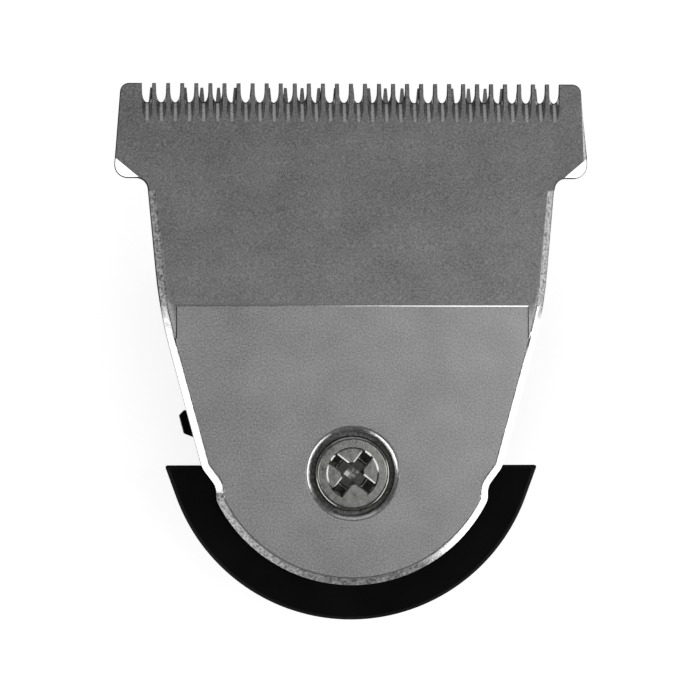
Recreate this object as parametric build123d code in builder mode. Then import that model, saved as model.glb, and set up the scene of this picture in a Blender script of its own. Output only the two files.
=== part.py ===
from build123d import *
import os
from math import atan2, cos, degrees, pi, radians, sin, tan

# A clip-on blade set for a hair trimmer, lying on its back, in millimetres.
# +Y points to the cutting teeth and +Z out of the ground front face. The origin is below the
# middle of the set, on the plane of the carrier's rear rim.

# Overall sizes
overall_length = 36.2        # tooth tips to the tail of the carrier's flange
carrier_depth = 7.6          # rear rim to the seat of the fixed blade

# Fixed blade: outline
blade_width = 32.1           # across the feet of the shoulders, before they are rolled
shoulder_lean = 0.5          # each shoulder is this much narrower at the tooth tips
shoulder_height = 6.4        # tooth tips to the underside of the shoulders
shoulder_tip_radius = 0.6
shoulder_foot_radius = 0.9
shoulder_root_radius = 0.8
shoulder_overhang = 2.25     # each shoulder stands this far out of the neck
neck_taper = 0.85            # each side of the neck comes in by this much down to the waist
waist_distance = 15.35       # tooth tips to the waist
waist_radius = 32.0
flank_taper = 2.85           # each flank comes in by this much down to the heel
heel_rise = 10.3             # tail of the flange to the end of the flanks
notch_depth = 0.95           # locating notch between flank and tail, on each side
notch_run = 1.28
notch_radius = 1.2
tail_straight = 0.89         # notch to the start of the round tail
flange_show = 2.4            # how far the carrier's flange stands out below the tail

# Fixed blade: section
tip_thickness = 0.42
grind_length = 15.0          # tooth tips to the ridge where the ground front ends
grind_angle = 5.5
relief_inset = 1.1           # waist to the shallow side reliefs of the tail
relief_angle = 5.5
edge_bevel = 0.5             # rolled edge round the neck, flanks and tail
edge_drop = 0.42
foot_roll_rise = 1.35        # rolled foot of each shoulder: up its side
foot_roll_run = 1.7          # and along its underside
foot_roll_angle = 34.0

# Teeth of the fixed blade
shoulder_land = 1.775        # solid end of the comb, to the middle of the first slot
tooth_pitch = 0.95
slot_radius = 0.325          # round bottom of the slot
slot_flank_angle = 3.0       # each flank of the slot opens by this much
slot_length = 1.28           # tooth tips to the slot's end at the back face
flute_length = 1.32          # run-out of the slot on the front face

# Screw
screw_rise = 9.92            # tail of the flange to the screw
head_radius = 2.55
head_height = 1.05
head_edge = 0.3
head_sink = 0.05             # the head's top lies this far under the front face
dish_radius = 1.78           # shallow dish round the cross recess
dish_depth = 0.1
dimple_gap = 0.3             # between the head and the recess in the blade
dimple_edge = 0.27           # broken edge of that recess
shank_radius = 1.3
shank_length = 6.4
shank_tip = 0.8              # length of the tapered tip
shank_tip_radius = 0.65
recess_reach = 1.72          # centre of the cross recess to the end of a wing
recess_foot_reach = 0.95      # the same at the foot of the wings
recess_width = 0.74
recess_depth = 1.3           # to the foot of the wings
recess_point = 0.25          # the recess ends in a point, this far below
recess_core_radius = 0.82    # round core between the wings
recess_turn = 52.0           # turn of the cross from the set's width
thread_clearance = 0.05
hole_clearance = 0.2

# Cutter
cutter_rest = -1.05          # sideways place of the cutter in its stroke
stroke = 1.25                # greatest travel to each side of the middle
cutter_thickness = 0.9
cutter_tip_thickness = 0.4
cutter_setback = 0.28        # the cutter's tips lie this far behind the comb's tips
cutter_margin = 0.65         # the cutter stays this far inside the comb at the ends of its stroke
cutter_pitch = 1.1286
cutter_slot_foot = 0.36      # half width of the slot at its foot
cutter_flank_angle = 12.0
cutter_slot_length = 1.1
cutter_flute_length = 1.5
cutter_bevel_length = 3.6    # ground bevel behind the cutter's teeth
cutter_head_length = 5.6     # tooth tips to the step of the cutter's sides
cutter_step = 2.7            # the cutter's body is this much narrower on each side
cutter_length = 11.85
cutter_corner_radius = 0.8
running_clearance = 0.02     # film of oil between comb and cutter
land_length = 2.6            # cutting land that runs on the comb
heel_land = 2.2              # land at the cutter's heel
hollow_depth = 0.12          # hollow between the two lands

# Drive bridge
bridge_width = 11.8
bridge_length = 4.4
bridge_thickness = 1.8
bridge_setback = 6.3         # tooth tips to the bridge's front edge
bridge_corner_radius = 0.6
peg_radius = 0.8
peg_spacing = 8.8
peg_inset = 1.2              # bridge's front edge to the pegs
peg_clearance = 0.05
peg_recess = 0.1             # the pegs end this far under the cutter's hollow
apron_width = 8.6            # plate that carries the fork, over the carrier's floor
apron_length = 4.8
apron_clearance = 0.1        # over the carrier's floor
guide_width = 8.0            # guide rib of the bridge
guide_breadth = 1.1
guide_inset = 0.65           # apron's rear edge to the guide rib
guide_height = 0.85
guide_clearance = 0.05
fork_gap = 3.2               # takes the eccentric pin
fork_prong = 1.6
fork_breadth = 2.8
fork_rim_gap = 0.9           # prong ends to the plane of the rear rim
fork_lead = 0.5

# Carrier
wall_inset = 0.4             # carrier walls lie this far inside the blade's outline
wall_thickness = 1.4
floor_thickness = 1.6
heel_gap = 0.3               # between the cutter's heel and the carrier
nest_clearance = 0.05        # between the blade's tail and the flange round it
flange_width = 2.43          # the flange's radius is this much more than the tail's
flange_flare = 20.0          # lean of the flange's straight ends
flange_end_rise = 10.48      # tail of the flange to its straight ends
flange_rise = 0.7            # the flange stands this far over the blade's seat
flange_thickness = 4.0
flange_draft = 4.0
flange_edge = 0.25
boss_radius = 2.7
boss_height = 4.8
rib_thickness = 1.0
tail_rib_height = 1.6
lug_rise = 3.8               # end of the flanks to the upper end of each side lug
lug_length = 1.6
lug_reach = 0.42             # the lugs stand this far outside the blade's outline
lug_ramp = 0.35
lug_root = 0.9               # the lugs are rooted this far inside the blade's outline
lug_low = 1.9                # rear rim to the lugs
lug_height = 1.7
lug_lead = 0.4
hook_width = 9.0
hook_reach = 1.5             # the hook stands this far out of the tail wall
hook_low = 0.5
hook_height = 1.6
hook_lead = 0.5

# Tension spring
wire_radius = 0.4
coil_radius = 1.5            # to the middle of the wire
coil_turns = 2
coil_pitch = 0.86
coil_gap = 2.2               # apron's rear edge to the posts of the coils
coil_offset = 6.2            # middle of the set to the inner turn of each coil
bail_inset = 2.7             # bridge's front edge to the bail
bail_radius = 1.2
bail_groove = 1.0
bail_groove_depth = 0.6
bail_clearance = 0.05
arm_overhang = 0.4           # the arms run this far past the ribs that they press on
rest_clearance = 0.05
wire_sides = 6               # sides of the wire's section
stub_clearance = 0.1
stub_overhang = 0.3
post_thickness = 1.2
post_clearance = 0.05        # between each arm and its post

# Levels and places that follow from the sizes above
tip_y = overall_length / 2
flange_tail_y = -overall_length / 2
seat_z = carrier_depth
grind_slope = tan(radians(grind_angle))
blade_thickness = tip_thickness + grind_length * grind_slope
front_z = seat_z + blade_thickness
ridge_y = tip_y - grind_length
shoulder_y = tip_y - shoulder_height
root_y = shoulder_y - shoulder_root_radius
neck_width = blade_width - 2 * shoulder_overhang
waist_width = neck_width - 2 * neck_taper
heel_width = waist_width - 2 * flank_taper
waist_y = tip_y - waist_distance
heel_y = flange_tail_y + heel_rise
notch_y = heel_y - notch_run
tail_half = heel_width / 2 - notch_depth
tail_start_y = notch_y - tail_straight
tail_end_y = flange_tail_y + flange_show
tail_height = tail_start_y - tail_end_y
tail_radius = (tail_half**2 + tail_height**2) / (2 * tail_height)
tail_centre_y = tail_end_y + tail_radius
tail_turn = degrees(atan2(tail_centre_y - tail_start_y, tail_half))
neck_slope = (neck_width - waist_width) / 2 / (shoulder_y - waist_y)
flank_slope = (waist_width - heel_width) / 2 / (waist_y - heel_y)
screw_y = flange_tail_y + screw_rise
head_seat_z = front_z - head_sink - head_height
dimple_radius = head_radius + dimple_gap
floor_z = seat_z - floor_thickness
cutter_front_z = seat_z - running_clearance
cutter_back_z = cutter_front_z - cutter_thickness
cutter_tip_y = tip_y - cutter_setback
cutter_heel_y = cutter_tip_y - cutter_length
cutter_tooth_count = int((blade_width - 2 * stroke - 2 * cutter_margin) / cutter_pitch)
cutter_half = cutter_tooth_count * cutter_pitch / 2
cutter_body_half = cutter_half - cutter_step
carrier_top_y = cutter_heel_y - heel_gap
bridge_top_y = tip_y - bridge_setback
bridge_low_y = bridge_top_y - bridge_length
bridge_rear_z = cutter_back_z - bridge_thickness
peg_y = bridge_top_y - peg_inset
apron_low_y = bridge_low_y - apron_length
apron_front_z = floor_z - apron_clearance
guide_y = apron_low_y + guide_inset + guide_breadth / 2
bail_y = bridge_top_y - bail_inset
bail_z = bridge_rear_z + bail_groove_depth - bail_clearance - wire_radius
post_half = coil_radius + wire_radius
coil_y = apron_low_y - coil_gap - post_half
coil_z = bail_z - coil_radius
coil_width = coil_turns * coil_pitch
arm_lean = coil_pitch / (2 * pi * coil_radius)
post_gap = post_clearance + arm_lean * post_half
post_x = coil_offset - wire_radius - post_gap - post_thickness
arm_end_y = screw_y - rib_thickness / 2 - arm_overhang
arm_length = coil_y - arm_end_y
rest_z = bail_z + wire_radius + rest_clearance
flange_z = seat_z + flange_rise - flange_thickness
flange_radius = tail_radius + flange_width
flange_centre_y = flange_tail_y + flange_radius
flange_end_y = flange_tail_y + flange_end_rise
hair = 0.01                  # window for picking corners
over = 1.0                   # cuts run this far past the surface


def neck_half(y):
    """Half width of the blade's neck at a place along its length."""
    return waist_width / 2 + neck_slope * (y - waist_y)


def flank_half(y):
    """Half width of the blade's flank at a place along its length."""
    return heel_width / 2 + flank_slope * (y - heel_y)


def ground_z(y):
    """Height of the ground front face at a place along its length."""
    return front_z - grind_slope * (y - ridge_y)


# Neck, flanks and round tail of the blade, which the carrier follows
with BuildSketch() as tail_outline:
    with BuildLine():
        Line((0, tip_y), (neck_half(tip_y), tip_y))
        FilletPolyline(
            (neck_half(tip_y), tip_y),
            (waist_width / 2, waist_y),
            (heel_width / 2, heel_y),
            (tail_half, notch_y),
            (tail_half, tail_start_y),
            radius=[waist_radius, notch_radius, notch_radius],
        )
        CenterArc((0, tail_centre_y), tail_radius, -90, 90 - tail_turn)
        mirror(about=Plane.YZ)
    make_face()
    corners = tail_outline.vertices()
    fillet(corners.filter_by_position(Axis.Y, tail_start_y - hair, tail_start_y + hair), notch_radius)

# Shoulders that carry the teeth, down to where their root arcs reach the neck
with BuildSketch() as shoulder_outline:
    with BuildLine():
        side_top = (blade_width / 2 - shoulder_lean, tip_y)
        flat_top = (side_top[0] - 2 * shoulder_tip_radius, tip_y)
        Line((0, tip_y), flat_top)
        FilletPolyline(
            flat_top,
            side_top,
            (blade_width / 2, shoulder_y),
            (neck_width / 2, shoulder_y),
            (neck_half(root_y), root_y),
            radius=[shoulder_tip_radius, shoulder_foot_radius, shoulder_root_radius],
        )
        Line((neck_half(root_y), root_y), (0, root_y))
        mirror(about=Plane.YZ)
    make_face()

# Rolled feet of the shoulders: each is a facet across the corner, tilted out of the ground face
foot_side = Vector(
    blade_width / 2 - shoulder_lean * foot_roll_rise / shoulder_height,
    shoulder_y + foot_roll_rise,
    ground_z(shoulder_y + foot_roll_rise),
)
foot_under = Vector(blade_width / 2 - foot_roll_run, shoulder_y, ground_z(shoulder_y))
foot_line = (foot_under - foot_side).normalized()
foot_up = Vector(0, grind_slope, 1).normalized()
foot_out = foot_up.cross(foot_line)
foot_tilt = foot_up * cos(radians(foot_roll_angle)) + foot_out * sin(radians(foot_roll_angle))
with BuildPart() as foot_rolls:
    with BuildSketch(Plane((foot_side + foot_under) / 2, foot_line, foot_tilt)):
        Rectangle(foot_roll_rise + foot_roll_run, foot_roll_run, align=(Align.CENTER, Align.MIN))
    extrude(amount=blade_thickness)
    mirror(about=Plane.YZ)

# What is ground off the front, so that the blade thins towards its tips
with BuildPart() as grinding:
    with BuildSketch(Plane.YZ):
        with BuildLine():
            Polyline(
                (ridge_y, front_z),
                (tip_y + over, ground_z(tip_y + over)),
                (tip_y + over, front_z + over),
                (ridge_y, front_z + over),
                close=True,
            )
        make_face()
    extrude(amount=blade_width, both=True)

with BuildPart() as fixed_blade:
    with BuildSketch(Plane.XY.offset(seat_z)):
        add(tail_outline.sketch)
    extrude(amount=blade_thickness)
    add(grinding.part, mode=Mode.SUBTRACT)
    fronts = fixed_blade.faces().filter_by(lambda face: face.normal_at().Z > cos(radians(2 * grind_angle)))
    chamfer(fronts.edges().filter_by(Axis.X, reverse=True), edge_drop, edge_bevel)

    # Shoulders, and the shallow side reliefs of the tail
    with BuildSketch(Plane.XY.offset(seat_z)):
        add(shoulder_outline.sketch)
    extrude(amount=blade_thickness)
    add(grinding.part, mode=Mode.SUBTRACT)
    relief_half = waist_width / 2 - relief_inset
    relief_drop = (blade_width / 2 - relief_half) * tan(radians(relief_angle))
    with BuildSketch(Plane.XZ):
        with BuildLine():
            Polyline(
                (relief_half, front_z),
                (blade_width / 2, front_z - relief_drop),
                (blade_width / 2, front_z + over),
                (relief_half, front_z + over),
                close=True,
            )
        make_face()
        mirror(about=Plane.YZ)
    extrude(amount=overall_length, both=True, mode=Mode.SUBTRACT)
    add(foot_rolls.part, mode=Mode.SUBTRACT)

    # Tooth slots: a round-nosed cutter enters the front face at the flute and leaves at the back
    slot_span = blade_width - 2 * (shoulder_lean + shoulder_land)
    slot_count = round(slot_span / tooth_pitch) + 1
    flute_y = tip_y - slot_length - flute_length
    flute_drop = ground_z(flute_y) - seat_z
    slot_open = slot_radius + blade_thickness
    slot_half = slot_radius + blade_thickness * tan(radians(slot_flank_angle))
    slot_plane = Plane(
        origin=(0, flute_y, ground_z(flute_y)),
        x_dir=(1, 0, 0),
        z_dir=(0, flute_length, -flute_drop),
    )
    with BuildSketch(slot_plane):
        with GridLocations(tooth_pitch, 0, slot_count, 1):
            with Locations((0, -slot_radius)):
                Circle(slot_radius)
            Polygon(
                (-slot_radius, -slot_radius),
                (slot_radius, -slot_radius),
                (slot_half, -slot_open),
                (-slot_half, -slot_open),
                align=None,
            )
    extrude(amount=slot_length + 2 * flute_length, mode=Mode.SUBTRACT)

    # Recess and hole for the screw
    with Locations((0, screw_y, front_z)):
        CounterBoreHole(shank_radius + hole_clearance, dimple_radius, front_z - head_seat_z)
        Cone(
            dimple_radius,
            dimple_radius + dimple_edge,
            dimple_edge,
            align=(Align.CENTER, Align.CENTER, Align.MAX),
            mode=Mode.SUBTRACT,
        )
fixed_blade.part.label = "fixed_blade"

with BuildPart() as fixing_screw:
    with BuildSketch(Plane.YZ) as screw_profile:
        with BuildLine():
            Polyline(
                (0, head_seat_z + head_height),
                (head_radius, head_seat_z + head_height),
                (head_radius, head_seat_z),
                (shank_radius, head_seat_z),
                (shank_radius, head_seat_z - shank_length + shank_tip),
                (shank_tip_radius, head_seat_z - shank_length),
                (0, head_seat_z - shank_length),
                close=True,
            )
        make_face()
        fillet(screw_profile.vertices().group_by(Axis.Y)[-1].sort_by(Axis.X)[-1], head_edge)
    revolve(axis=Axis.Z)

    # Shallow dish, and the cross recess: two tapering wings and a round core that narrows to their foot
    head_top_z = head_seat_z + head_height
    with Locations((0, 0, head_top_z)):
        Cone(
            dish_radius - dish_depth,
            dish_radius,
            dish_depth,
            align=(Align.CENTER, Align.CENTER, Align.MAX),
            mode=Mode.SUBTRACT,
        )
    for wing_turn in (recess_turn, recess_turn + 90):
        with BuildSketch(Plane.XZ.rotated((0, 0, wing_turn))):
            with BuildLine():
                Polyline(
                    (recess_reach, head_top_z),
                    (recess_foot_reach, head_top_z - recess_depth),
                    (0, head_top_z - recess_depth - recess_point),
                    (-recess_foot_reach, head_top_z - recess_depth),
                    (-recess_reach, head_top_z),
                    close=True,
                )
            make_face()
        extrude(amount=recess_width / 2, both=True, mode=Mode.SUBTRACT)
    with Locations((0, 0, head_top_z)):
        Cone(
            recess_width / 2,
            recess_core_radius,
            recess_depth,
            align=(Align.CENTER, Align.CENTER, Align.MAX),
            mode=Mode.SUBTRACT,
        )
fixing_screw.part.position = (0, screw_y, 0)
fixing_screw.part.label = "fixing_screw"

# Cutter, at its place in the stroke
with BuildPart() as moving_blade:
    with BuildSketch(Plane((cutter_rest, 0, cutter_back_z))) as cutter_outline:
        cutter_step_y = cutter_tip_y - cutter_head_length
        with BuildLine():
            Polyline(
                (0, cutter_tip_y),
                (cutter_half, cutter_tip_y),
                (cutter_half, cutter_step_y),
                (cutter_body_half, cutter_step_y),
                (cutter_body_half, cutter_heel_y),
                (0, cutter_heel_y),
            )
            mirror(about=Plane.YZ)
        make_face()
        fillet(cutter_outline.vertices().group_by(Axis.Y)[0], cutter_corner_radius)
    extrude(amount=cutter_thickness)
    with BuildSketch(Plane.YZ):
        bevel_start_y = cutter_tip_y - cutter_bevel_length
        with BuildLine():
            Polyline(
                (bevel_start_y, cutter_back_z),
                (cutter_tip_y, cutter_front_z - cutter_tip_thickness),
                (cutter_tip_y, cutter_back_z - over),
                (bevel_start_y, cutter_back_z - over),
                close=True,
            )
        make_face()
    extrude(amount=blade_width, both=True, mode=Mode.SUBTRACT)
    with BuildSketch(Plane.YZ):
        hollow_length = cutter_length - land_length - heel_land
        with Locations((cutter_heel_y + heel_land, cutter_front_z - hollow_depth)):
            Rectangle(hollow_length, 2 * hollow_depth, align=(Align.MIN, Align.MIN))
    extrude(amount=blade_width, both=True, mode=Mode.SUBTRACT)
    with Locations((cutter_rest, peg_y, cutter_front_z)):
        with GridLocations(peg_spacing, 0, 2, 1):
            Cylinder(peg_radius + peg_clearance, 3 * cutter_thickness, mode=Mode.SUBTRACT)

    # Tooth slots, cut from the bevelled back
    cutter_flute_y = cutter_tip_y - cutter_slot_length - cutter_flute_length
    bevel_slope = (cutter_thickness - cutter_tip_thickness) / cutter_bevel_length
    cutter_flute_z = cutter_back_z + bevel_slope * (cutter_flute_y - bevel_start_y)
    cutter_flute_drop = cutter_front_z - cutter_flute_z
    cutter_slot_open = cutter_thickness + cutter_tip_thickness
    cutter_slot_half = cutter_slot_foot + cutter_slot_open * tan(radians(cutter_flank_angle))
    cutter_slot_plane = Plane(
        origin=(cutter_rest, cutter_flute_y, cutter_flute_z),
        x_dir=(1, 0, 0),
        z_dir=(0, cutter_flute_length, cutter_flute_drop),
    )
    with BuildSketch(cutter_slot_plane):
        with GridLocations(cutter_pitch, 0, cutter_tooth_count + 1, 1):
            Polygon(
                (-cutter_slot_foot, 0),
                (cutter_slot_foot, 0),
                (cutter_slot_half, cutter_slot_open),
                (-cutter_slot_half, cutter_slot_open),
                align=None,
            )
    extrude(amount=cutter_slot_length + 2 * cutter_flute_length, mode=Mode.SUBTRACT)
moving_blade.part.label = "moving_blade"

with BuildPart() as drive_bridge:
    with BuildSketch(Plane((cutter_rest, 0, bridge_rear_z))):
        with Locations((0, bridge_top_y)):
            RectangleRounded(
                bridge_width, bridge_length, bridge_corner_radius, align=(Align.CENTER, Align.MAX)
            )
    extrude(amount=bridge_thickness)
    with BuildSketch(Plane((cutter_rest, 0, bridge_rear_z))):
        with Locations((0, bridge_low_y + bridge_corner_radius)):
            Rectangle(apron_width, apron_length + bridge_corner_radius, align=(Align.CENTER, Align.MAX))
    extrude(amount=apron_front_z - bridge_rear_z)

    # Guide rib that runs in the carrier's floor, and the fork for the eccentric pin
    with BuildSketch(Plane((cutter_rest, guide_y, apron_front_z))):
        Rectangle(guide_width, guide_breadth)
    extrude(amount=guide_height)
    with BuildSketch(Plane((cutter_rest, bridge_low_y, bridge_rear_z))):
        with GridLocations(fork_gap + fork_prong, 0, 2, 1):
            Rectangle(fork_prong, fork_breadth, align=(Align.CENTER, Align.MAX))
    extrude(amount=fork_rim_gap - bridge_rear_z)
    prong_ends = drive_bridge.faces().filter_by(Axis.Z).group_by(Axis.Z)[0]
    chamfer(prong_ends.edges().filter_by(Axis.Y), fork_lead)

    # Pegs that carry the cutter, and the groove in which the spring's bail lies
    with BuildSketch(Plane((cutter_rest, peg_y, cutter_back_z))):
        with GridLocations(peg_spacing, 0, 2, 1):
            Circle(peg_radius)
    extrude(amount=cutter_thickness - hollow_depth - peg_recess)
    with BuildSketch(Plane.YZ):
        with Locations((bail_y, bridge_rear_z)):
            Rectangle(bail_groove, 2 * bail_groove_depth)
    extrude(amount=blade_width, both=True, mode=Mode.SUBTRACT)
drive_bridge.part.label = "drive_bridge"

# Double torsion spring: each half runs from its arm through the coil to the middle of the bail
corner_x = coil_offset + coil_width + (bail_y - coil_y) * arm_lean
with BuildPart() as tension_spring:
    with BuildLine() as half_wire:
        Line((coil_offset - arm_length * arm_lean, arm_end_y, bail_z), (coil_offset, coil_y, bail_z))
        Helix(coil_pitch, coil_width, coil_radius, (coil_offset, coil_y, coil_z), (1, 0, 0), lefthand=True)
        FilletPolyline(
            (coil_offset + coil_width, coil_y, bail_z),
            (corner_x, bail_y, bail_z),
            (0, bail_y, bail_z),
            radius=bail_radius,
        )
    with BuildSketch(Plane(half_wire.line @ 0, z_dir=half_wire.line % 0)):
        RegularPolygon(wire_radius, wire_sides)
    sweep()
    mirror(about=Plane.YZ)
tension_spring.part.label = "tension_spring"

with BuildPart() as blade_carrier:
    # Walls and floor behind the blade, and the flange that frames its tail
    with BuildSketch():
        add(tail_outline.sketch)
        offset(amount=-wall_inset)
        with Locations((0, carrier_top_y)):
            Rectangle(blade_width, overall_length, align=(Align.CENTER, Align.MIN), mode=Mode.SUBTRACT)
    extrude(amount=seat_z)
    with BuildSketch(Plane.XY.offset(flange_z + flange_thickness)):
        with BuildLine():
            flange_arc = CenterArc((0, flange_centre_y), flange_radius, -90, 90 - flange_flare)
            flange_top = (
                (flange_arc @ 1).X + (flange_end_y - (flange_arc @ 1).Y) * tan(radians(flange_flare)),
                flange_end_y,
            )
            Line(flange_arc @ 1, flange_top)
            Line(flange_top, (0, flange_end_y))
            mirror(about=Plane.YZ)
        make_face()
    extrude(amount=-flange_thickness, taper=flange_draft)
    flange_top_face = blade_carrier.faces().sort_by(Axis.Z)[-1]
    chamfer(flange_top_face.edges(), flange_edge)
    with BuildSketch(Plane.XY.offset(seat_z)):
        add(tail_outline.sketch)
        offset(amount=nest_clearance)
    extrude(amount=blade_thickness, mode=Mode.SUBTRACT)
    with BuildSketch() as pocket_outline:
        add(tail_outline.sketch)
        offset(amount=-wall_inset - wall_thickness)
    extrude(amount=floor_z, mode=Mode.SUBTRACT)

    # Screw boss with its ribs; the spring's arms press on the two at its sides
    with BuildSketch(Plane.XY.offset(floor_z)):
        with Locations((0, screw_y)):
            Circle(boss_radius)
    extrude(amount=-boss_height)
    with BuildSketch(Plane.XY.offset(floor_z)):
        add(pocket_outline.sketch)
        with Locations((0, screw_y)):
            Rectangle(blade_width, rib_thickness, mode=Mode.INTERSECT)
    extrude(amount=rest_z - floor_z)
    tail_rib_length = screw_y - tail_end_y - wall_inset
    with BuildSketch(Plane.XY.offset(floor_z)):
        with Locations((0, screw_y)):
            Rectangle(rib_thickness, tail_rib_length, align=(Align.CENTER, Align.MAX))
    extrude(amount=-tail_rib_height)
    with Locations((0, screw_y, seat_z)):
        Cylinder(shank_radius + thread_clearance, 2 * seat_z, mode=Mode.SUBTRACT)

    # Groove that guides the bridge and stops it at the ends of the stroke
    with BuildSketch(Plane((0, guide_y, floor_z))):
        Rectangle(guide_width + 2 * stroke + 2 * guide_clearance, guide_breadth + 2 * guide_clearance)
    extrude(amount=guide_height - apron_clearance + guide_clearance, mode=Mode.SUBTRACT)

    # Posts with the stub axles of the coils
    stub_length = post_gap + coil_width + 2 * wire_radius + stub_overhang
    for side in (1, -1):
        post_plane = Plane((side * post_x, coil_y, coil_z), (0, side, 0), (side, 0, 0))
        with BuildSketch(post_plane):
            Circle(post_half)
            Rectangle(2 * post_half, floor_z - coil_z, align=(Align.CENTER, Align.MIN))
        extrude(amount=post_thickness)
        with BuildSketch(post_plane.offset(post_thickness)):
            Circle(coil_radius - wire_radius - stub_clearance)
        extrude(amount=stub_length)

    # Side lugs that snap into the trimmer
    lug_top_y = heel_y + lug_rise
    lug_low_y = lug_top_y - lug_length
    lug_foot_y = lug_low_y - lug_ramp
    with BuildSketch(Plane.XY.offset(lug_low)):
        with BuildLine():
            Polyline(
                (flank_half(lug_top_y) - lug_root, lug_top_y),
                (flank_half(lug_top_y), lug_top_y),
                (flank_half(lug_top_y - lug_ramp) + lug_reach, lug_top_y - lug_ramp),
                (flank_half(lug_low_y) + lug_reach, lug_low_y),
                (flank_half(lug_foot_y) - wall_inset, lug_foot_y),
                (flank_half(lug_foot_y) - lug_root, lug_foot_y),
                close=True,
            )
        make_face()
        mirror(about=Plane.YZ)
    extrude(amount=lug_height)
    lug_rears = blade_carrier.faces().filter_by_position(Axis.Z, lug_low - hair, lug_low + hair)
    chamfer([rear.edges().sort_by(lambda edge: abs(edge.center().X))[-1] for rear in lug_rears], lug_lead)

    # Tail hook under the flange
    hook_outer = tail_radius - wall_inset + hook_reach
    with BuildSketch(Plane((0, tail_centre_y, hook_low))):
        Circle(hook_outer)
        Circle(tail_radius - wall_inset - wall_thickness / 2, mode=Mode.SUBTRACT)
        Rectangle(hook_width, hook_outer, align=(Align.CENTER, Align.MAX), mode=Mode.INTERSECT)
    extrude(amount=hook_height)
    hook_rear = blade_carrier.faces().filter_by_position(Axis.Z, hook_low - hair, hook_low + hair)
    chamfer(hook_rear.edges().sort_by(Axis.Y)[0], hook_lead)
blade_carrier.part.label = "blade_carrier"

os.makedirs("parts", exist_ok=True)
for piece in (fixed_blade, fixing_screw, moving_blade, drive_bridge, tension_spring, blade_carrier):
    export_step(piece.part, f"parts/{piece.part.label}.step")
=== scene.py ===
# %% [markdown]
# # A clip-on trimmer blade set
# Six pieces: a ground steel comb, a cutter that slides behind its teeth, a screw, a wire spring, a white
# drive bridge and a black moulded carrier. The CAD model gives each piece its place and size, in metres,
# and stays as it is. This lesson adds what a drawing leaves out: soft edges, round wire, the screw's
# thread, the marks of the mould and the finish of each metal and plastic.

# %% Load the fixed frame
from math import cos, pi, radians, sin, tan

import bmesh
import bpy
from mathutils import Matrix, Vector


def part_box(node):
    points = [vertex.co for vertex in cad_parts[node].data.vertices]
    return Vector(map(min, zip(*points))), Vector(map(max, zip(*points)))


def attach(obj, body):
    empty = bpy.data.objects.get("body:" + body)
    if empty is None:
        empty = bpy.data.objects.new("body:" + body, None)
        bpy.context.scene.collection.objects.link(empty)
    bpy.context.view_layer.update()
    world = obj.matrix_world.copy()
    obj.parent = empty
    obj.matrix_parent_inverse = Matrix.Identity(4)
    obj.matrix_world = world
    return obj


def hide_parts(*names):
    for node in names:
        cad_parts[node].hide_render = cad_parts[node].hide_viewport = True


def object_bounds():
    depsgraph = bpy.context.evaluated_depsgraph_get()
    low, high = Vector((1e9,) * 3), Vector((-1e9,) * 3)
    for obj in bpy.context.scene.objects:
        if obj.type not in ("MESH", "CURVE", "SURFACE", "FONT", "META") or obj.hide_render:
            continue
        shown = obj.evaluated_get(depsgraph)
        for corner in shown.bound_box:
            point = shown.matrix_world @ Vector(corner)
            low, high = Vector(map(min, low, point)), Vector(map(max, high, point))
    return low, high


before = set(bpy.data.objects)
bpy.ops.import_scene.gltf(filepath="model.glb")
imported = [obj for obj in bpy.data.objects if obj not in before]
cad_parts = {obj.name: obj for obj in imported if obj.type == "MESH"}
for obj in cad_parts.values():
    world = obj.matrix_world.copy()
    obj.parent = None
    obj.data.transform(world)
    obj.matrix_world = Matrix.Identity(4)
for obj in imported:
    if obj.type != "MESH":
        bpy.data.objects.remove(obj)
cad_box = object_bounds()
scene = bpy.context.scene
MM = 0.001
print("CAD box in mm:", [round(side / MM, 2) for side in cad_box[1] - cad_box[0]])

# %% [markdown]
# ## Colours and nodes
# Colours are written as the hex values that a screen shows. Blender mixes light in linear values, so one
# function turns them. Every material and every Geometry Nodes tree below is built with one helper that
# adds a node, gives it its settings, and sets or links its inputs.

# %% Helpers for colours, nodes and materials
def linear(hex_colour):
    """The linear colour, with alpha, of an sRGB hex value such as #808080."""
    shares = [int(hex_colour[at:at + 2], 16) / 255 for at in (1, 3, 5)]
    return [c / 12.92 if c <= 0.04045 else ((c + 0.055) / 1.055) ** 2.4 for c in shares] + [1.0]


def add(tree, kind, inputs=(), **settings):
    """Adds a node with its settings; inputs holds a value or a socket for each input's name or number."""
    node = tree.nodes.new(kind)
    for name, value in settings.items():
        setattr(node, name, value)
    for socket, value in dict(inputs).items():
        if isinstance(value, bpy.types.NodeSocket):
            tree.links.new(value, node.inputs[socket])
        else:
            node.inputs[socket].default_value = value
    return node


def per_grain(size):
    """The texture scale at which one grain is this many millimetres wide."""
    return 1 / (size * MM)


def new_finish(name):
    """An empty material: its tree, its shader and the place of each point on the piece."""
    finish = bpy.data.materials.new(name)
    finish.use_nodes = True
    tree = finish.node_tree
    place = add(tree, "ShaderNodeTexCoord").outputs["Object"]
    return finish, tree, tree.nodes["Principled BSDF"], place


print("helpers ready")

# %% [markdown]
# ## Ground stainless steel, fine blasted
# The comb is stamped from martensitic stainless sheet, ground on its front and then tumbled or blasted
# with fine grit. That leaves a satin grey with a grain of about a tenth of a millimetre, which glitters
# faintly, and slow clouds where the grit fell more or less thickly. The grain could be an image; noise
# is used, because it has no seam and no resolution.

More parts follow.
